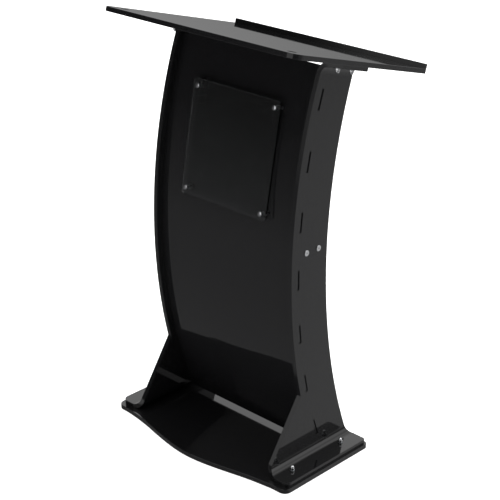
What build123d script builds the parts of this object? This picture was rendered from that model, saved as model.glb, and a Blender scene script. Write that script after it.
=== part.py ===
from build123d import *
import math
import os

# Flat-pack speaker's lectern of heat-bent acrylic sheet, millimetres.
# Origin: on the floor, under the middle of the overall box.
# +X is to the right of someone facing the lectern from the audience,
# -Y points at the audience, +Y at the speaker, +Z is up.

# ---- driving dimensions -------------------------------------------------
sheet = 12.0                # every main panel is cut from this sheet
bend_radius = 20.0          # inside radius of the heat bends

base_half_width = 308.0
base_front = -215.3         # straight ends of the front edge
base_rear = 98.7
base_front_corner = 20.0
base_rear_corner = 14.0
base_bulge = [(250, -217.2), (207, -223.1), (167, -230.8), (127, -239.8),
              (88, -247.9), (51, -254.0), (17, -257.3)]   # half of the bowed front edge

panel_outer_x = 239.5       # outer face of the right side panel
panel_inner_x = panel_outer_x - sheet
front_arc = (1264.6, 523.8, 1391.9)    # y, z and radius of the panels' front edge
rear_arc = (1386.5, 524.4, 1390.5)     # y, z and radius of the panels' rear edge
gusset_top = (-88.4, 197.0)            # where the foot starts to run forward
gusset_toe = (-189.3, 44.0)            # where the heat bend starts
foot_outer_x = 302.3
foot_front = -203.2
foot_rear = 93.2
foot_front_corner = 18.0
foot_rear_corner = 8.0
head_outer_x = 290.0
head_bend_along = (190.0, 293.0)       # front and rear of the head flange at the bend
head_end_along = (196.0, 287.0)        # and at its outer end

face_radius = 1372.8        # outer face of the curved front panel
face_sheet = 8.0            # thinner than the side panels
face_bottom_z = 24.0
face_top_z = 1018.5
slot_count = 7
slot_pitch = 6.1            # degrees along the curve
slot_middle = -0.35
slot_length = 50.0
slot_clearance = 0.3
tab_reach = 9.6             # tabs stop 2.4 mm short of the side panels' outer faces

top_slope = 15.48           # degrees, falls towards the speaker
top_front_y = -205.3
top_front_z = 1099.2
top_half_width = 315.0
top_length = 477.0
top_front_corner = 25.0
top_rear_corner = 3.0
cable_hole_d = 22.0
cable_hole_at = (271.0, 36.0)          # x, distance from the front edge
stop_height = 11.6
stop_thickness = 8.0

head_bolt_x = 267.0
head_bolt_along = (208.0, 259.0)       # distance from the front edge
foot_bolt_x = 267.0
foot_bolt_y = (-146.0, 35.0)
shelf_bolt_y = (-76.8, -34.7)
shelf_bolt_z = 578.0
shelf_head_d, shelf_head_height = 15.0, 2.2

shelf_sheet = 8.0
shelf_top_z = 600.0
shelf_front = -92.0
shelf_rear = -5.0
shelf_flange_bottom = 562.0

plaque_size = 290.0
plaque_sheet = 5.0
plaque_corner = 12.0
plaque_holes = 255.6
plaque_centre = (0, -95.3, 783.7)      # on the middle plane of the caps
plaque_tilt = 10.73                    # degrees back from upright
cap_d, cap_height = 12.0, 4.0
barrel_d = 8.0
stud_d = 4.0

bolt_d = 6.0
bolt_hole_d = 6.6
csk_head_d = 12.0
cap_nut_af = 10.0
washer_d, washer_t = 12.0, 1.2

edge_break = 0.6

# ---- shared planes and positions ---------------------------------------
slope = math.radians(top_slope)
top_plane = Plane(origin=(0, top_front_y, top_front_z), x_dir=(1, 0, 0),
                  z_dir=(0, math.sin(slope), math.cos(slope)))
tilt = math.radians(plaque_tilt)
plaque_plane = Plane(origin=plaque_centre, x_dir=(1, 0, 0),
                     z_dir=(0, -math.cos(tilt), math.sin(tilt)))
face_middle_radius = face_radius - face_sheet / 2
slot_angles = [slot_middle + slot_pitch * (k - (slot_count - 1) / 2) for k in range(slot_count)]


def on_front_arc(z):
    y0, z0, r = front_arc
    return (y0 - math.sqrt(r * r - (z - z0) ** 2), z)


def on_rear_arc(z):
    y0, z0, r = rear_arc
    return (y0 - math.sqrt(r * r - (z - z0) ** 2), z)


def from_top(along, depth):
    """y and z of a point measured along the slope and down from the reading surface."""
    return (top_front_y + along * math.cos(slope) - depth * math.sin(slope),
            top_front_z - along * math.sin(slope) - depth * math.cos(slope))


def arc_meets_depth(arc_point, depth):
    """Height at which an edge arc reaches the given depth under the reading surface."""
    low, high = 700.0, 1090.0
    for _ in range(60):
        z = (low + high) / 2
        y = arc_point(z)[0]
        here = (top_front_z - z) * math.cos(slope) - (y - top_front_y) * math.sin(slope)
        if here > depth:
            low = z
        else:
            high = z
    return (low + high) / 2


def along_of(point):
    y, z = point
    return (y - top_front_y) * math.cos(slope) - (z - top_front_z) * math.sin(slope)


bend_start = sheet + sheet + bend_radius          # 44 mm from the outer face of base or top
outer_radius = bend_radius + sheet
front_top_z = arc_meets_depth(on_front_arc, bend_start)
rear_top_z = arc_meets_depth(on_rear_arc, bend_start)
front_top = on_front_arc(front_top_z)
rear_top = on_rear_arc(rear_top_z)
front_top_along = along_of(front_top)
rear_top_along = along_of(rear_top)
rear_foot = on_rear_arc(bend_start)
front_foot = (gusset_toe[0], bend_start)
bend_x = panel_outer_x + bend_radius              # centre line of both bends

foot_points = [(s * foot_bolt_x, y) for s in (-1, 1) for y in foot_bolt_y]
head_points = [(s * head_bolt_x, a) for s in (-1, 1) for a in head_bolt_along]

os.makedirs("parts", exist_ok=True)

# ---- base plate ----------------------------------------------------------
with BuildPart() as base_plate:
    with BuildSketch() as base_outline:
        with BuildLine():
            left = [(-x, y) for x, y in base_bulge]
            right = [(x, y) for x, y in reversed(base_bulge)]
            Spline([(-280, base_front)] + left + right + [(280, base_front)],
                   tangents=[(1, 0), (1, 0)])
            Polyline((280, base_front), (base_half_width, base_front), (base_half_width, base_rear),
                     (-base_half_width, base_rear), (-base_half_width, base_front), (-280, base_front))
        make_face()
        corners = base_outline.vertices()
        fillet([v for v in corners if abs(v.X) > 300 and v.Y < 0], base_front_corner)
        corners = base_outline.vertices()
        fillet([v for v in corners if abs(v.X) > 300 and v.Y > base_rear - 1], base_rear_corner)
    extrude(amount=sheet)
    chamfer(base_plate.faces().sort_by(Axis.Z)[-1].edges()
            + base_plate.faces().sort_by(Axis.Z)[0].edges(), edge_break)
    with Locations(*[(x, y, 0) for x, y in foot_points]):
        Cylinder(bolt_hole_d / 2, sheet, align=(Align.CENTER, Align.CENTER, Align.MIN), mode=Mode.SUBTRACT)
        Cone(csk_head_d / 2 + 0.3, bolt_d / 2 + 0.3, csk_head_d / 2 - bolt_d / 2,
             align=(Align.CENTER, Align.CENTER, Align.MIN), mode=Mode.SUBTRACT)
base_plate.part.label = "base_plate"
export_step(base_plate.part, "parts/base_plate.step")

# ---- side panels ---------------------------------------------------------
# Each panel is cut flat and then bent outwards at the foot and at the head. Sections of the
# bend stand on its axis: the vertical sheet is at turn 0 and the flange at turn 90.
def bend_plane(turn, centre, along, flange_side):
    t = math.radians(turn)
    radial = Vector(-1, 0, 0) * math.cos(t) + flange_side * math.sin(t)
    return Plane(origin=centre, x_dir=radial, z_dir=radial.cross(along))


def bent_sheet(centre, along, flange_side, front_of, rear_of):
    """Quarter-turn bend; front_of and rear_of give its two cut ends along the axis at each turn."""
    with BuildPart() as bend:
        for turn in range(0, 91, 15):
            front, rear = front_of(turn), rear_of(turn)
            with BuildSketch(bend_plane(turn, centre, along, flange_side)):
                with BuildLine():
                    Polyline((bend_radius, front), (outer_radius, front), (outer_radius, rear),
                             (bend_radius, rear), close=True)
                make_face()
        loft()
    return bend.part


foot_bend = bent_sheet(Vector(bend_x, 0, bend_start), Vector(0, 1, 0), Vector(0, 0, -1),
                       lambda turn: front_foot[0] + (foot_front - front_foot[0]) * turn / 90,
                       lambda turn: rear_foot[0] + (foot_rear - rear_foot[0]) * turn / 90)
head_axis = top_plane.from_local_coords(Vector(bend_x, 0, -bend_start))
head_bend = bent_sheet(head_axis, top_plane.y_dir, top_plane.z_dir,
                       lambda turn: front_top_along + (head_bend_along[0] - front_top_along) * turn / 90,
                       lambda turn: rear_top_along + (head_bend_along[1] - rear_top_along) * turn / 90)

with BuildPart() as side_panel_right:
    with BuildSketch(Plane.YZ.offset(panel_inner_x)):
        with BuildLine():
            Polyline(rear_foot, front_foot, gusset_top)
            ThreePointArc(gusset_top, on_front_arc(560), front_top)
            Line(front_top, rear_top)
            ThreePointArc(rear_top, on_rear_arc(560), rear_foot)
        make_face()
    extrude(amount=sheet)
    add(foot_bend)
    add(head_bend)
    with BuildSketch(Plane.XY.offset(sheet)) as foot_flange:
        with BuildLine():
            Polyline((bend_x, foot_front), (foot_outer_x, foot_front), (foot_outer_x, foot_rear),
                     (bend_x, foot_rear), close=True)
        make_face()
        fillet(foot_flange.vertices().filter_by(lambda v: v.X > bend_x + 1).sort_by(Axis.Y)[0], foot_front_corner)
        fillet(foot_flange.vertices().filter_by(lambda v: v.X > bend_x + 1).sort_by(Axis.Y)[-1], foot_rear_corner)
    extrude(amount=sheet)
    with BuildSketch(top_plane.offset(-2 * sheet)):
        with BuildLine():
            Polyline((bend_x, head_bend_along[0]), (head_outer_x, head_end_along[0]),
                     (head_outer_x, head_end_along[1]), (bend_x, head_bend_along[1]), close=True)
        make_face()
    extrude(amount=sheet)
    with BuildSketch(Plane.YZ.offset(panel_inner_x)):
        for angle in slot_angles:
            a = math.radians(angle)
            at = (front_arc[0] - face_middle_radius * math.cos(a), front_arc[1] + face_middle_radius * math.sin(a))
            with Locations(Location(at, -angle)):
                Rectangle(face_sheet + 2 * slot_clearance, slot_length)
    extrude(amount=sheet, mode=Mode.SUBTRACT)
    with Locations(*[Location((panel_inner_x, y, shelf_bolt_z), (0, 90, 0)) for y in shelf_bolt_y]):
        Cylinder(bolt_hole_d / 2, 3 * sheet, mode=Mode.SUBTRACT)
    with Locations(*[(foot_bolt_x, y, 1.5 * sheet) for y in foot_bolt_y]):
        Cylinder(bolt_hole_d / 2, 1.5 * sheet, mode=Mode.SUBTRACT)
    with BuildSketch(top_plane.offset(-sheet + 1)):
        with Locations(*[(head_bolt_x, a) for a in head_bolt_along]):
            Circle(bolt_hole_d / 2)
    extrude(amount=-sheet - 2, mode=Mode.SUBTRACT)
side_panel_right.part.label = "side_panel_right"
export_step(side_panel_right.part, "parts/side_panel_right.step")

with BuildPart() as side_panel_left:
    add(mirror(side_panel_right.part, about=Plane.YZ))
side_panel_left.part.label = "side_panel_left"
export_step(side_panel_left.part, "parts/side_panel_left.step")

# ---- curved front panel with its tabs ------------------------------------
face_start = math.degrees(math.asin((face_bottom_z - front_arc[1]) / face_radius))
face_end = math.degrees(math.asin((face_top_z - front_arc[1]) / face_radius))
tab_half = math.degrees((slot_length / 2 - 0.4) / face_middle_radius)
with BuildPart() as front_panel:
    with BuildSketch(Plane.YZ.offset(-panel_inner_x)):
        with BuildLine():
            CenterArc((front_arc[0], front_arc[1]), face_radius, 180 - face_start, face_start - face_end)
            CenterArc((front_arc[0], front_arc[1]), face_radius - face_sheet, 180 - face_end, face_end - face_start)
            for a in (face_start, face_end):
                Line((front_arc[0] - face_radius * math.cos(math.radians(a)),
                      front_arc[1] + face_radius * math.sin(math.radians(a))),
                     (front_arc[0] - (face_radius - face_sheet) * math.cos(math.radians(a)),
                      front_arc[1] + (face_radius - face_sheet) * math.sin(math.radians(a))))
        make_face()
    extrude(amount=2 * panel_inner_x)
    for angle in slot_angles:
        with BuildSketch(Plane.YZ.offset(-panel_inner_x - tab_reach)):
            with BuildLine():
                CenterArc((front_arc[0], front_arc[1]), face_radius, 180 - angle - tab_half, 2 * tab_half)
                CenterArc((front_arc[0], front_arc[1]), face_radius - face_sheet, 180 - angle + tab_half, -2 * tab_half)
                for a in (angle - tab_half, angle + tab_half):
                    Line((front_arc[0] - face_radius * math.cos(math.radians(a)),
                          front_arc[1] + face_radius * math.sin(math.radians(a))),
                         (front_arc[0] - (face_radius - face_sheet) * math.cos(math.radians(a)),
                          front_arc[1] + (face_radius - face_sheet) * math.sin(math.radians(a))))
            make_face()
        extrude(amount=2 * (panel_inner_x + tab_reach))
    with BuildSketch(plaque_plane):
        with GridLocations(plaque_holes, plaque_holes, 2, 2):
            Circle(stud_d / 2 + 0.25)
    extrude(amount=-60, mode=Mode.SUBTRACT)
front_panel.part.label = "front_panel"
export_step(front_panel.part, "parts/front_panel.step")

# ---- reading top and its page stop ---------------------------------------
with BuildPart() as reading_top:
    with BuildSketch(top_plane) as top_outline:
        with Locations((0, top_length / 2)):
            Rectangle(2 * top_half_width, top_length)
        fillet(top_outline.vertices().filter_by(lambda v: v.Y < 1), top_front_corner)
        fillet(top_outline.vertices().filter_by(lambda v: v.Y > top_length - 1), top_rear_corner)
    extrude(amount=-sheet)
    flat = reading_top.faces().filter_by(top_plane)
    chamfer(flat.edges(), edge_break)
    with BuildSketch(top_plane):
        with Locations((-cable_hole_at[0], cable_hole_at[1]), (cable_hole_at[0], cable_hole_at[1])):
            Circle(cable_hole_d / 2)
    extrude(amount=-sheet, mode=Mode.SUBTRACT)
    with Locations(top_plane):
        with Locations(*[(x, a, 0) for x, a in head_points]):
            Cylinder(bolt_hole_d / 2, sheet, align=(Align.CENTER, Align.CENTER, Align.MAX), mode=Mode.SUBTRACT)
            Cone(bolt_d / 2 + 0.3, csk_head_d / 2 + 0.3, csk_head_d / 2 - bolt_d / 2,
                 align=(Align.CENTER, Align.CENTER, Align.MAX), mode=Mode.SUBTRACT)
reading_top.part.label = "reading_top"
export_step(reading_top.part, "parts/reading_top.step")

with BuildPart() as page_stop:
    with BuildSketch(top_plane):
        with Locations((0, top_length - stop_thickness / 2 - edge_break)):
            Rectangle(2 * top_half_width - 2 * edge_break, stop_thickness)
    extrude(amount=stop_height)
    chamfer(page_stop.faces().filter_by(top_plane).sort_by(Axis.Z)[-1].edges(), edge_break)
page_stop.part.label = "page_stop"
export_step(page_stop.part, "parts/page_stop.step")

# ---- inner shelf, its ends turned down against the side panels -----------
with BuildPart() as inner_shelf:
    with BuildSketch(Plane.XZ.offset(-shelf_rear)) as shelf_section:
        with BuildLine():
            Polyline((-panel_inner_x, shelf_flange_bottom), (-panel_inner_x, shelf_top_z),
                     (panel_inner_x, shelf_top_z), (panel_inner_x, shelf_flange_bottom),
                     (panel_inner_x - shelf_sheet, shelf_flange_bottom),
                     (panel_inner_x - shelf_sheet, shelf_top_z - shelf_sheet),
                     (-panel_inner_x + shelf_sheet, shelf_top_z - shelf_sheet),
                     (-panel_inner_x + shelf_sheet, shelf_flange_bottom), close=True)
        make_face()
        fillet(shelf_section.vertices().filter_by(lambda v: v.Y > shelf_top_z - 1), 14)
        fillet(shelf_section.vertices().filter_by(
            lambda v: abs(v.Y - shelf_top_z + shelf_sheet) < 1 and abs(v.X) < panel_inner_x - 1), 6)
    extrude(amount=shelf_rear - shelf_front)
    with Locations(*[Location((0, y, shelf_bolt_z), (0, 90, 0)) for y in shelf_bolt_y]):
        Cylinder(bolt_hole_d / 2, 2 * panel_inner_x + 10, mode=Mode.SUBTRACT)
inner_shelf.part.label = "inner_shelf"
export_step(inner_shelf.part, "parts/inner_shelf.step")

# ---- clear plaque on four standoffs --------------------------------------
plaque_back = -cap_height / 2 - plaque_sheet
with BuildPart() as plaque:
    with BuildSketch(plaque_plane.offset(plaque_back)):
        RectangleRounded(plaque_size, plaque_size, plaque_corner)
    extrude(amount=plaque_sheet)
    chamfer(plaque.faces().sort_by(Axis.Y)[0].edges() + plaque.faces().sort_by(Axis.Y)[-1].edges(), 0.5)
    with BuildSketch(plaque_plane):
        with GridLocations(plaque_holes, plaque_holes, 2, 2):
            Circle(stud_d / 2 + 0.25)
    extrude(amount=-20, mode=Mode.SUBTRACT)
plaque.part.label = "plaque"
export_step(plaque.part, "parts/plaque.step")

with BuildPart() as standoff_caps:
    with BuildSketch(plaque_plane.offset(-cap_height / 2)):
        with GridLocations(plaque_holes, plaque_holes, 2, 2):
            Circle(cap_d / 2)
    extrude(amount=cap_height)
    chamfer(standoff_caps.edges().filter_by(GeomType.CIRCLE).filter_by(
        lambda e: plaque_plane.to_local_coords(e.center()).Z > 0), 0.8)
    with BuildSketch(plaque_plane.offset(-cap_height / 2)):
        with GridLocations(plaque_holes, plaque_holes, 2, 2):
            Circle(stud_d / 2)
    extrude(amount=2.5, mode=Mode.SUBTRACT)
standoff_caps.part.label = "standoff_caps"
export_step(standoff_caps.part, "parts/standoff_caps.step")

# barrels run back to the curved face and are cut to it
with BuildPart() as face_solid:
    with Locations(Location((0, front_arc[0], front_arc[1]), (0, 90, 0))):
        Cylinder(face_radius, 600)
with BuildPart() as standoff_barrels:
    with BuildSketch(plaque_plane.offset(plaque_back)):
        with GridLocations(plaque_holes, plaque_holes, 2, 2):
            Circle(barrel_d / 2)
            Circle(stud_d / 2, mode=Mode.SUBTRACT)
    extrude(amount=-20)
    add(face_solid.part, mode=Mode.SUBTRACT)
standoff_barrels.part.label = "standoff_barrels"
export_step(standoff_barrels.part, "parts/standoff_barrels.step")

stud_back = -42.0
with BuildPart() as standoff_studs:
    with BuildSketch(plaque_plane.offset(-cap_height / 2 + 2.5)):
        with GridLocations(plaque_holes, plaque_holes, 2, 2):
            Circle(stud_d / 2)
    extrude(amount=stud_back + cap_height / 2 - 2.5)
standoff_studs.part.label = "standoff_studs"
export_step(standoff_studs.part, "parts/standoff_studs.step")

# saddle washers fill the wedge between the curved back of the panel and the nuts
nut_seat = -32.5
with BuildPart() as face_back:
    with Locations(Location((0, front_arc[0], front_arc[1]), (0, 90, 0))):
        Cylinder(face_radius - face_sheet, 600)
with BuildPart() as saddle_washers:
    with BuildSketch(plaque_plane.offset(nut_seat)):
        with GridLocations(plaque_holes, plaque_holes, 2, 2):
            Circle(6)
            Circle(stud_d / 2, mode=Mode.SUBTRACT)
    extrude(amount=12)
    add(face_back.part, mode=Mode.INTERSECT)
saddle_washers.part.label = "saddle_washers"
export_step(saddle_washers.part, "parts/saddle_washers.step")

with BuildPart() as standoff_nuts:
    with BuildSketch(plaque_plane.offset(nut_seat)):
        with GridLocations(plaque_holes, plaque_holes, 2, 2):
            RegularPolygon(7 / math.sqrt(3), 6)
            Circle(stud_d / 2, mode=Mode.SUBTRACT)
    extrude(amount=-5)
standoff_nuts.part.label = "standoff_nuts"
export_step(standoff_nuts.part, "parts/standoff_nuts.step")


# ---- fasteners -----------------------------------------------------------
def countersunk_bolt(length):
    """M6 countersunk bolt, head face at z = 0 and shank downwards."""
    with BuildPart() as bolt:
        Cone(bolt_d / 2, csk_head_d / 2, csk_head_d / 2 - bolt_d / 2,
             align=(Align.CENTER, Align.CENTER, Align.MAX))
        Cylinder(bolt_d / 2, length, align=(Align.CENTER, Align.CENTER, Align.MAX))
        with BuildSketch():
            RegularPolygon(4 / math.sqrt(3), 6)
        extrude(amount=-2.2, mode=Mode.SUBTRACT)
    return bolt.part


def cap_nut():
    """M6 cap nut, seat at z = 0 and dome upwards."""
    with BuildPart() as nut:
        with BuildSketch():
            RegularPolygon(cap_nut_af / math.sqrt(3), 6)
        extrude(amount=5.5)
        with BuildSketch(Plane.XZ):
            with BuildLine():
                Polyline((0, 12), (0, 5), (4.75, 5), (4.75, 7.25))
                CenterArc((0, 7.25), 4.75, 0, 90)
            make_face()
        revolve(axis=Axis.Z)
        Cylinder(bolt_d / 2, 9.6, align=(Align.CENTER, Align.CENTER, Align.MIN), mode=Mode.SUBTRACT)
    return nut.part


def washer(outer, inner, thickness):
    """Plain washer standing on z = 0."""
    with BuildPart() as ring:
        with BuildSketch():
            Circle(outer / 2)
            Circle(inner / 2, mode=Mode.SUBTRACT)
        extrude(amount=thickness)
    return ring.part


bolt_length = 2 * sheet + washer_t + 9.0
one_bolt = countersunk_bolt(bolt_length)
one_cap_nut = cap_nut()
one_washer = washer(washer_d, bolt_d, washer_t)

# foot: bolts come up through the base, cap nuts stand on the foot flanges
with BuildPart() as foot_bolts:
    with Locations(*[Location((x, y, 0), (180, 0, 0)) for x, y in foot_points]):
        add(one_bolt)
foot_bolts.part.label = "foot_bolts"
export_step(foot_bolts.part, "parts/foot_bolts.step")

with BuildPart() as foot_washers:
    with Locations(*[(x, y, 2 * sheet) for x, y in foot_points]):
        add(one_washer)
foot_washers.part.label = "foot_washers"
export_step(foot_washers.part, "parts/foot_washers.step")

with BuildPart() as foot_cap_nuts:
    with Locations(*[Location((x, y, 2 * sheet + washer_t), (0, 0, 15)) for x, y in foot_points]):
        add(one_cap_nut)
foot_cap_nuts.part.label = "foot_cap_nuts"
export_step(foot_cap_nuts.part, "parts/foot_cap_nuts.step")

# head: bolts go down through the reading top, cap nuts hang under the head flanges
under_head = top_plane.offset(-2 * sheet)
with BuildPart() as head_bolts:
    with Locations(top_plane):
        with Locations(*[(x, a, 0) for x, a in head_points]):
            add(one_bolt)
head_bolts.part.label = "head_bolts"
export_step(head_bolts.part, "parts/head_bolts.step")

with BuildPart() as head_washers:
    with Locations(under_head):
        with Locations(*[(x, a, -washer_t) for x, a in head_points]):
            add(one_washer)
head_washers.part.label = "head_washers"
export_step(head_washers.part, "parts/head_washers.step")

with BuildPart() as head_cap_nuts:
    with Locations(under_head):
        with Locations(*[Location((x, a, -washer_t), (180, 0, 15)) for x, a in head_points]):
            add(one_cap_nut)
head_cap_nuts.part.label = "head_cap_nuts"
export_step(head_cap_nuts.part, "parts/head_cap_nuts.step")

# shelf: flat heads outside, washers and nuts on the shelf's turned-down ends
shelf_points = [(s, y) for s in (-1, 1) for y in shelf_bolt_y]
shelf_bolt_length = sheet + shelf_sheet + washer_t + 7
with BuildPart() as flat_bolt:
    with BuildSketch(Plane.XZ):
        with BuildLine():
            Polyline((0, shelf_head_height), (0, -shelf_bolt_length), (bolt_d / 2, -shelf_bolt_length),
                     (bolt_d / 2, 0), (shelf_head_d / 2, 0), (shelf_head_d / 2, shelf_head_height - 0.5),
                     (shelf_head_d / 2 - 0.5, shelf_head_height), close=True)
        make_face()
    revolve(axis=Axis.Z)
    with BuildSketch():
        RegularPolygon(4 / math.sqrt(3), 6)
    extrude(amount=5, mode=Mode.SUBTRACT)
with BuildPart() as shelf_bolts:
    with Locations(*[Location((s * panel_outer_x, y, shelf_bolt_z), (0, 90 * s, 0)) for s, y in shelf_points]):
        add(flat_bolt.part)
shelf_bolts.part.label = "shelf_bolts"
export_step(shelf_bolts.part, "parts/shelf_bolts.step")

inside = panel_inner_x - shelf_sheet
with BuildPart() as shelf_washers:
    with Locations(*[Location((s * inside, y, shelf_bolt_z), (0, -90 * s, 0)) for s, y in shelf_points]):
        add(one_washer)
shelf_washers.part.label = "shelf_washers"
export_step(shelf_washers.part, "parts/shelf_washers.step")

with BuildPart() as shelf_nuts:
    for s, y in shelf_points:
        with BuildSketch(Plane(origin=(s * (inside - washer_t), y, shelf_bolt_z), x_dir=(0, 1, 0),
                               z_dir=(-s, 0, 0))):
            RegularPolygon(cap_nut_af / math.sqrt(3), 6)
            Circle(bolt_d / 2, mode=Mode.SUBTRACT)
        extrude(amount=5)
shelf_nuts.part.label = "shelf_nuts"
export_step(shelf_nuts.part, "parts/shelf_nuts.step")
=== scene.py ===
import math
import bmesh
import bpy
from mathutils import Matrix, Vector


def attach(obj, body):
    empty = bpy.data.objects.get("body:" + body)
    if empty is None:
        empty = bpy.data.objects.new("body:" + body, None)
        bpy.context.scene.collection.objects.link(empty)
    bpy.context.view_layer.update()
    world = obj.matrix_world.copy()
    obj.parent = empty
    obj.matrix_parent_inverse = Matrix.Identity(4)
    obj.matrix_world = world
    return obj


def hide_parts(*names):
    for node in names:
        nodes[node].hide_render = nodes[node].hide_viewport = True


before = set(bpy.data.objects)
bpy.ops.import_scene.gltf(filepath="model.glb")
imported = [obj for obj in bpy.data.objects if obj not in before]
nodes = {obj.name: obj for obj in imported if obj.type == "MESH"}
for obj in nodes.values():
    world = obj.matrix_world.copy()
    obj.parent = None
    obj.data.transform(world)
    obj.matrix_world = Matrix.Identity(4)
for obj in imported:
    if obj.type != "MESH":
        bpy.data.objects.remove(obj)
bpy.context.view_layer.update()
scene = bpy.context.scene
scene.view_settings.view_transform = "Standard"   # keeps blacks and whites where the lights put them
print("frame loaded:", len(nodes), "CAD nodes")


def toLinear(hexColour):
    # sRGB hex to the linear RGBA that shader sockets take
    parts = [int(hexColour[i:i + 2], 16) / 255 for i in (1, 3, 5)]
    return tuple(p / 12.92 if p <= 0.04045 else ((p + 0.055) / 1.055) ** 2.4 for p in parts) + (1.0,)


def addNode(tree, kind, settings=None, links=None):
    # one node, its settings, and each input as a value or as the socket that feeds it
    node = tree.nodes.new(kind)
    for name, value in (settings or {}).items():
        setattr(node, name, value)
    for name, value in (links or {}).items():
        if isinstance(value, bpy.types.NodeSocket):
            tree.links.new(value, node.inputs[name])
        else:
            node.inputs[name].default_value = value
    return node


def newMaterial(name):
    material = bpy.data.materials.new(name)
    material.use_nodes = True
    material.node_tree.nodes.clear()
    return material, material.node_tree


def finishMaterial(tree, shader):
    addNode(tree, "ShaderNodeOutputMaterial", None, {"Surface": shader.outputs[0]})


# Cast acrylic sheet (PMMA), black. The faces keep the gloss of the glass mould; a laser or a
# polished saw cut leaves the edges nearly as bright, with fine lines across the thickness.
# Handling leaves a thin haze and a little dust, and every arris is broken to about 0.5 mm.
acrylic = {
    "black": "#131314",
    "dust": "#5c5b59",
    "ior": 1.49,
    "roughness": (0.025, 0.07),    # clean moulded gloss, wiped haze
    "edgeRoughness": 0.11,
    "hazeMm": 140,                 # width of a wipe mark
    "waveMm": 26,                  # slow waviness of cast sheet
    "cutLineMm": 1.6,              # true cut lines are about 0.3 mm; drawn coarser so they show
    "dustMm": 5.0,
    "arrisMm": 0.5,
    "hazeSpread": (0.38, 0.72),    # part of the noise that turns from clean to hazy
    "speckSize": 0.07,             # dust speck radius as a share of the dust spacing
    "speckStrength": 4.0,
    "reliefMm": 0.08,
    "endFacing": (0.75, 0.95),     # cut faces look along the axis
    "rimFacing": (0.6, 0.3),       # cut faces look away from the axis
}


def blackAcrylic(name, cutAxis, cutAlong, waviness=0.25):
    # cutAxis and cutAlong say which faces are cut edges: those that face along the axis, or those that don't
    material, tree = newMaterial(name)
    place = addNode(tree, "ShaderNodeTexCoord")
    geometry = addNode(tree, "ShaderNodeNewGeometry")
    along = addNode(tree, "ShaderNodeVectorMath", {"operation": "DOT_PRODUCT"},
                    {0: geometry.outputs["Normal"], 1: cutAxis})
    facing = addNode(tree, "ShaderNodeMath", {"operation": "ABSOLUTE"}, {0: along.outputs["Value"]})
    low, high = acrylic["endFacing"] if cutAlong else acrylic["rimFacing"]
    cut = addNode(tree, "ShaderNodeMapRange", {"interpolation_type": "SMOOTHSTEP"},
                  {"Value": facing.outputs[0], "From Min": low, "From Max": high})

    haze = addNode(tree, "ShaderNodeTexNoise", None,
                   {"Vector": place.outputs["Object"], "Scale": 1000 / acrylic["hazeMm"], "Detail": 5.0,
                    "Roughness": 0.62, "Distortion": 0.8})
    hazeRange = addNode(tree, "ShaderNodeMapRange", None,
                        {"Value": haze.outputs["Fac"], "From Min": acrylic["hazeSpread"][0],
                         "From Max": acrylic["hazeSpread"][1],
                         "To Min": acrylic["roughness"][0], "To Max": acrylic["roughness"][1]})
    roughness = addNode(tree, "ShaderNodeMix", {"data_type": "FLOAT"},
                        {"Factor": cut.outputs[0], "A": hazeRange.outputs[0], "B": acrylic["edgeRoughness"]})

    specks = addNode(tree, "ShaderNodeTexVoronoi", {"feature": "F1"},
                     {"Vector": place.outputs["Object"], "Scale": 1000 / acrylic["dustMm"]})
    speckSize = addNode(tree, "ShaderNodeMath", {"operation": "LESS_THAN"},
                        {0: specks.outputs["Distance"], 1: acrylic["speckSize"]})
    speckSome = addNode(tree, "ShaderNodeMath", {"operation": "MULTIPLY"},
                        {0: speckSize.outputs[0], 1: hazeRange.outputs[0]})
    dustAmount = addNode(tree, "ShaderNodeMath", {"operation": "MULTIPLY"},
                         {0: speckSome.outputs[0], 1: acrylic["speckStrength"]})
    colour = addNode(tree, "ShaderNodeMix", {"data_type": "RGBA"},
                     {"Factor": dustAmount.outputs[0], "A": toLinear(acrylic["black"]),
                      "B": toLinear(acrylic["dust"])})

    waves = addNode(tree, "ShaderNodeTexNoise", None,
                    {"Vector": place.outputs["Object"], "Scale": 1000 / acrylic["waveMm"], "Detail": 1.0})
    lines = addNode(tree, "ShaderNodeTexNoise", None,
                    {"Vector": place.outputs["Object"], "Scale": 1000 / acrylic["cutLineMm"], "Detail": 2.0})
    relief = addNode(tree, "ShaderNodeMix", {"data_type": "FLOAT"},
                     {"Factor": cut.outputs[0], "A": waves.outputs["Fac"], "B": lines.outputs["Fac"]})
    arris = addNode(tree, "ShaderNodeBevel", {"samples": 4}, {"Radius": acrylic["arrisMm"] / 1000})
    bump = addNode(tree, "ShaderNodeBump", None,
                   {"Height": relief.outputs[0], "Strength": waviness, "Distance": acrylic["reliefMm"] / 1000,
                    "Normal": arris.outputs[0]})
    shader = addNode(tree, "ShaderNodeBsdfPrincipled", None,
                     {"Base Color": colour.outputs["Result"], "Roughness": roughness.outputs["Result"],
                      "IOR": acrylic["ior"], "Normal": bump.outputs[0]})
    finishMaterial(tree, shader)
    return material


def dress(nodeName, material):
    mesh = nodes[nodeName].data
    mesh.materials.clear()
    mesh.materials.append(material)


readingTop = {"slope": 15.48, "front": (-0.2053, 1.0992)}   # degrees; y and z of the front edge
slope = math.radians(readingTop["slope"])
topUp = (0.0, math.sin(slope), math.cos(slope))
sheets = {
    "base_plate": blackAcrylic("castAcrylicBase", (0, 0, 1), False),
    "side_panel_left": blackAcrylic("castAcrylicSideLeft", (0, 1, 0), True),
    "side_panel_right": blackAcrylic("castAcrylicSideRight", (0, 1, 0), True),
    "front_panel": blackAcrylic("castAcrylicFront", (1, 0, 0), True, 0.4),
    "reading_top": blackAcrylic("castAcrylicTop", topUp, False),
    "page_stop": blackAcrylic("castAcrylicStop", topUp, False),
    "inner_shelf": blackAcrylic("castAcrylicShelf", (0, 1, 0), True),
}
for sheetName, sheetMaterial in sheets.items():
    dress(sheetName, sheetMaterial)
print("black acrylic on", len(sheets), "sheets")


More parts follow.
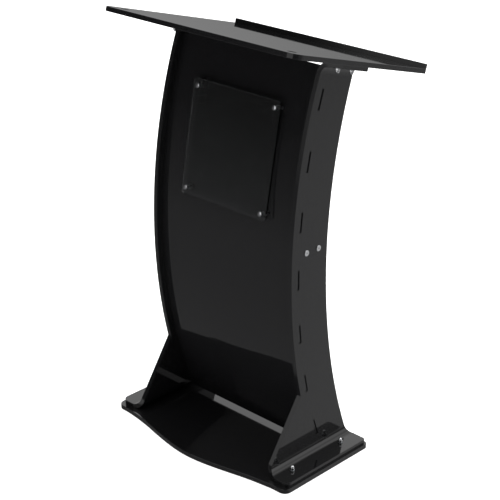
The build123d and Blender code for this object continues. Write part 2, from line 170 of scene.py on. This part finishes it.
# Clear cast acrylic: water-clear, polished edges that gather light, light finger haze.
clear = {"tint": "#f4f7f8", "ior": 1.49, "roughness": (0.01, 0.05), "hazeMm": 90, "hazeSpread": (0.4, 0.75)}
material, tree = newMaterial("clearAcrylic")
place = addNode(tree, "ShaderNodeTexCoord")
haze = addNode(tree, "ShaderNodeTexNoise", None,
               {"Vector": place.outputs["Object"], "Scale": 1000 / clear["hazeMm"], "Detail": 4.0,
                "Distortion": 1.2})
hazeRange = addNode(tree, "ShaderNodeMapRange", None,
                    {"Value": haze.outputs["Fac"], "From Min": clear["hazeSpread"][0],
                     "From Max": clear["hazeSpread"][1],
                     "To Min": clear["roughness"][0], "To Max": clear["roughness"][1]})
shader = addNode(tree, "ShaderNodeBsdfPrincipled", None,
                 {"Base Color": toLinear(clear["tint"]), "Roughness": hazeRange.outputs[0],
                  "IOR": clear["ior"], "Transmission Weight": 1.0})
finishMaterial(tree, shader)
dress("plaque", material)


metalRelief = {"arrisMm": 0.3, "depthMm": 0.05}


def metalFinish(name, colour, roughness, grainMm, grain):
    # turned or pressed metal with a fine grain; roughness wanders a little between the two values
    material, tree = newMaterial(name)
    place = addNode(tree, "ShaderNodeTexCoord")
    noise = addNode(tree, "ShaderNodeTexNoise", None,
                    {"Vector": place.outputs["Object"], "Scale": 1000 / grainMm, "Detail": 4.0,
                     "Roughness": 0.6})
    spread = addNode(tree, "ShaderNodeMapRange", None,
                     {"Value": noise.outputs["Fac"], "From Min": 0.3, "From Max": 0.7,
                      "To Min": roughness[0], "To Max": roughness[1]})
    arris = addNode(tree, "ShaderNodeBevel", {"samples": 4}, {"Radius": metalRelief["arrisMm"] / 1000})
    bump = addNode(tree, "ShaderNodeBump", None,
                   {"Height": noise.outputs["Fac"], "Strength": grain,
                    "Distance": metalRelief["depthMm"] / 1000,
                    "Normal": arris.outputs[0]})
    shader = addNode(tree, "ShaderNodeBsdfPrincipled", None,
                     {"Base Color": toLinear(colour), "Metallic": 1.0, "Roughness": spread.outputs[0],
                      "Normal": bump.outputs[0]})
    finishMaterial(tree, shader)
    return material


chromed = metalFinish("chromedBrass", "#d9dadc", (0.06, 0.14), 3.0, 0.15)      # bright cap nuts and caps
zinced = metalFinish("zincPlatedSteel", "#a9adb0", (0.25, 0.4), 1.2, 0.3)         # pressed washers and bolts
satin = metalFinish("satinStainlessSteel", "#cfd0d2", (0.28, 0.4), 1.5, 0.25)     # turned standoff barrels
blackened = metalFinish("blackOxideSteel", "#2a2a2b", (0.3, 0.45), 1.2, 0.3)      # flush heads in the top
for name in ("foot_cap_nuts", "head_cap_nuts", "standoff_caps", "shelf_bolts"):
    dress(name, chromed)
dress("standoff_barrels", satin)
for name in ("foot_bolts", "foot_washers", "head_washers", "standoff_studs", "standoff_nuts",
             "shelf_washers", "shelf_nuts"):
    dress(name, zinced)
dress("head_bolts", blackened)

# Moulded EPDM rubber: dull, with a fine open texture.
rubber = {"colour": "#202020", "roughness": 0.8,
          "gritPerMetre": 1400.0,      # grains about 0.7 mm across
          "grit": 0.4, "depthMm": 0.1}
material, tree = newMaterial("mouldedRubber")
place = addNode(tree, "ShaderNodeTexCoord")
grit = addNode(tree, "ShaderNodeTexNoise", None,
               {"Vector": place.outputs["Object"], "Scale": rubber["gritPerMetre"], "Detail": 3.0})
bump = addNode(tree, "ShaderNodeBump", None,
               {"Height": grit.outputs["Fac"], "Strength": rubber["grit"],
                "Distance": rubber["depthMm"] / 1000})
shader = addNode(tree, "ShaderNodeBsdfPrincipled", None,
                 {"Base Color": toLinear(rubber["colour"]), "Roughness": rubber["roughness"],
                  "Normal": bump.outputs[0]})
finishMaterial(tree, shader)
dress("saddle_washers", material)
print("plaque, metal and rubber finishes done")


pieceFinish = {"mergeDistance": 1e-6, "sharpFrom": 32}   # metres; degrees between faces that stay crisp


def addPiece(name, shape, material, nodeName):
    # closes the seams, turns the faces outwards and puts the piece in the CAD node's place
    bmesh.ops.remove_doubles(shape, verts=shape.verts, dist=pieceFinish["mergeDistance"])
    bmesh.ops.recalc_face_normals(shape, faces=shape.faces)
    mesh = bpy.data.meshes.new(name)
    shape.to_mesh(mesh)
    shape.free()
    mesh.materials.append(material)
    for face in mesh.polygons:
        face.use_smooth = True
    mesh.set_sharp_from_angle(angle=math.radians(pieceFinish["sharpFrom"]))
    piece = bpy.data.objects.new(name, mesh)
    scene.collection.objects.link(piece)
    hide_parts(nodeName)
    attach(piece, "root")
    return piece


def turnProfile(shape, profile, steps):
    # spins a profile of (radius, height) in metres around Z and gives the new vertices
    before = set(shape.verts)
    points = [shape.verts.new((radius, 0, height)) for radius, height in profile]
    lines = [shape.edges.new(pair) for pair in zip(points, points[1:])]
    bmesh.ops.spin(shape, geom=points + lines, cent=(0, 0, 0), axis=(0, 0, 1), angle=math.tau,
                   steps=steps, use_merge=True)
    return [v for v in shape.verts if v not in before]


# M6 cap nut: hexagon with worn corners, a step, and a turned dome.
capNut = {"acrossFlats": 0.0100, "hexHeight": 0.0055, "wear": 0.0004, "domeRadius": 0.00475,
          "domeStart": 0.0050, "shoulder": 0.00725, "stepGroove": 0.0002, "domeSteps": 10, "turns": 40,
          "twist": 15}


def addCapNut(shape, place):
    before = set(shape.verts)
    ring = bmesh.ops.create_circle(shape, cap_ends=True, segments=6,
                                   radius=capNut["acrossFlats"] / math.sqrt(3))["verts"]
    bmesh.ops.rotate(shape, verts=ring, cent=(0, 0, 0),
                     matrix=Matrix.Rotation(math.radians(capNut["twist"]), 3, "Z"))
    seat = [f for f in shape.faces if all(v in ring for v in f.verts)]
    raised = bmesh.ops.extrude_face_region(shape, geom=seat, use_keep_orig=True)["geom"]
    bmesh.ops.translate(shape, verts=[g for g in raised if isinstance(g, bmesh.types.BMVert)],
                        vec=(0, 0, capNut["hexHeight"]))
    hexVerts = [v for v in shape.verts if v not in before]
    hexEdges = list({e for v in hexVerts for e in v.link_edges})
    bmesh.ops.bevel(shape, geom=hexEdges, offset=capNut["wear"], affect="EDGES", segments=3, profile=0.5,
                    material=-1)
    reach, shoulder = capNut["domeRadius"], capNut["shoulder"]
    dome = [(reach * math.cos(t), shoulder + reach * math.sin(t))
            for t in (math.pi / 2 * k / capNut["domeSteps"] for k in range(capNut["domeSteps"]))]
    dome = [(reach - capNut["stepGroove"], capNut["domeStart"]),
            (reach - capNut["stepGroove"], capNut["hexHeight"] + capNut["stepGroove"]),
            (reach, capNut["hexHeight"] + 2 * capNut["stepGroove"])] + dome + [(0, shoulder + reach)]
    turnProfile(shape, [(0, capNut["domeStart"])] + dome, capNut["turns"])
    bmesh.ops.transform(shape, verts=[v for v in shape.verts if v not in before], matrix=place)


footNuts = {"across": 0.267, "along": (-0.146, 0.035), "seat": 0.0252}
shape = bmesh.new()
for side in (-1, 1):
    for along in footNuts["along"]:
        addCapNut(shape, Matrix.Translation((side * footNuts["across"], along, footNuts["seat"])))
addPiece("footCapNuts", shape, chromed, "foot_cap_nuts")

# the head nuts hang under the flanges, square to the sloping top
headNuts = {"across": 0.267, "along": (0.208, 0.259), "depth": 0.0252}
shape = bmesh.new()
topFrame = (Matrix.Translation((0, *readingTop["front"])) @ Matrix.Rotation(-slope, 4, "X"))
for side in (-1, 1):
    for along in headNuts["along"]:
        hang = Matrix.Translation((side * headNuts["across"], along, -headNuts["depth"]))
        addCapNut(shape, topFrame @ hang @ Matrix.Rotation(math.pi, 4, "X"))
addPiece("headCapNuts", shape, chromed, "head_cap_nuts")

# plaque caps: turned discs with a rounded rim and a faint crown on the face
plaqueCap = {"radius": 0.0060, "height": 0.0040, "rim": 0.0010, "crown": 0.00008, "rimSteps": 6, "turns": 56,
             "spread": 0.1278, "centre": (0, -0.0953, 0.7837), "tilt": 10.73}
capFrame = (Matrix.Translation(plaqueCap["centre"])
            @ Matrix.Rotation(math.radians(90 - plaqueCap["tilt"]), 4, "X"))
face = plaqueCap["height"] / 2
rimCentre = (plaqueCap["radius"] - plaqueCap["rim"], face - plaqueCap["crown"] - plaqueCap["rim"])
rim = [(rimCentre[0] + plaqueCap["rim"] * math.cos(t), rimCentre[1] + plaqueCap["rim"] * math.sin(t))
       for t in (math.pi / 2 * k / plaqueCap["rimSteps"] for k in range(plaqueCap["rimSteps"] + 1))]
profile = [(0, -face), (plaqueCap["radius"], -face)] + rim + [(0, face)]
shape = bmesh.new()
for across in (-1, 1):
    for up in (-1, 1):
        fresh = turnProfile(shape, profile, plaqueCap["turns"])
        spot = Matrix.Translation((across * plaqueCap["spread"], up * plaqueCap["spread"], 0))
        bmesh.ops.transform(shape, verts=fresh, matrix=capFrame @ spot)
addPiece("plaqueCaps", shape, chromed, "standoff_caps")
print("cap nuts and plaque caps modelled")


# The studio: a pale floor, a room of soft lights built into the world, and the camera.
# Each soft light is cut out of the room by its sides: a direction, how far towards it the light
# starts, and how soft that border is. Along one direction only, it is a round lamp.
studio = {
    "floorSize": 60.0,
    "floor": "#f2f2f2",
    "floorGlow": 0.74,
    "backdrop": "#ffffff",
    "sky": 0.02,
    "ground": 0.21,              # light coming up from the floor around
    "groundRamp": (0.06, -0.33), # height of the direction where the ground light starts and is full
    "lights": [
        {"light": 0.83, "sides": [((0.788, -0.616, 0.13), 0.0, 0.01), ((-0.906, -0.423, 0), 0.0, 0.01),
                                  ((0, 0, 1), -0.1, 0.04)]},       # box in front, upright borders
        {"light": 1.3, "sides": [((-0.542, 0.542, 0.643), 0.783, 0.195)]},   # high behind on the left
        {"light": 0.31, "sides": [((0.503, 0.578, -0.643), 0.82, 0.155)]},   # bounce behind on the right
        {"light": 2.2, "sides": [((0, 0.1, 0.995), 0.9, 0.035)]},            # overhead
        {"light": 0.7, "sides": [((0.844, 0.199, 0.497), 0.853, 0.087)]},    # fill on the right
        {"light": 0.95, "sides": [((0.69, 0.72, 0), 0.5, 0.1),
                                  ((0, 0, 1), 0.14, 0.07)]},                 # wall behind on the right
    ],
}
world = bpy.data.worlds.new("softStudio")
scene.world = world
world.use_nodes = True
tree = world.node_tree
tree.nodes.clear()
direction = addNode(tree, "ShaderNodeTexCoord")
split = addNode(tree, "ShaderNodeSeparateXYZ", None, {0: direction.outputs["Generated"]})
rampStart, rampFull = studio["groundRamp"]
total = addNode(tree, "ShaderNodeMapRange", None,
                {"Value": split.outputs["Z"], "From Min": rampStart, "From Max": rampFull,
                 "To Min": studio["sky"], "To Max": studio["ground"]}).outputs[0]
for softLight in studio["lights"]:
    glow = softLight["light"]
    for side, start, soft in softLight["sides"]:
        toward = addNode(tree, "ShaderNodeVectorMath", {"operation": "DOT_PRODUCT"},
                         {0: direction.outputs["Generated"], 1: Vector(side).normalized()})
        mask = addNode(tree, "ShaderNodeMapRange", {"interpolation_type": "SMOOTHSTEP"},
                       {"Value": toward.outputs["Value"], "From Min": start - soft, "From Max": start + soft})
        glow = addNode(tree, "ShaderNodeMath", {"operation": "MULTIPLY"},
                       {0: mask.outputs[0], 1: glow}).outputs[0]
    total = addNode(tree, "ShaderNodeMath", {"operation": "ADD"}, {0: total, 1: glow}).outputs[0]
room = addNode(tree, "ShaderNodeBackground", None, {"Color": (1, 1, 1, 1), "Strength": total})
paper = addNode(tree, "ShaderNodeBackground", None, {"Color": toLinear(studio["backdrop"]), "Strength": 1.0})
rays = addNode(tree, "ShaderNodeLightPath")
both = addNode(tree, "ShaderNodeMixShader", None,
               {0: rays.outputs["Is Camera Ray"], 1: room.outputs[0], 2: paper.outputs[0]})
addNode(tree, "ShaderNodeOutputWorld", None, {"Surface": both.outputs[0]})

floorMesh = bpy.data.meshes.new("studioFloor")
shape = bmesh.new()
bmesh.ops.create_grid(shape, x_segments=1, y_segments=1, size=studio["floorSize"] / 2)
shape.to_mesh(floorMesh)
shape.free()
floor = bpy.data.objects.new("studioFloor", floorMesh)
scene.collection.objects.link(floor)
floor.location.z = -0.0005
floor.visible_glossy = False          # the acrylic mirrors the world's own ground light instead
floor.visible_transmission = False    # and so does what is seen through the plaque
material, tree = newMaterial("palePaperFloor")
shader = addNode(tree, "ShaderNodeBsdfPrincipled", None,
                 {"Base Color": toLinear(studio["floor"]), "Roughness": 0.9,
                  "Emission Color": (1, 1, 1, 1), "Emission Strength": studio["floorGlow"]})
finishMaterial(tree, shader)
floorMesh.materials.append(material)

view = {"place": (2.2287, -2.3158, 1.8923), "down": 23.583, "turn": 44.158, "lensMm": 100.0, "sensorMm": 36.0}
cameraData = bpy.data.cameras.new("studioCamera")
cameraData.lens, cameraData.sensor_width = view["lensMm"], view["sensorMm"]
camera = bpy.data.objects.new("studioCamera", cameraData)
camera.location = view["place"]
camera.rotation_euler = (math.radians(90 - view["down"]), 0, math.radians(view["turn"]))
scene.collection.objects.link(camera)
scene.camera = camera
print("studio ready")
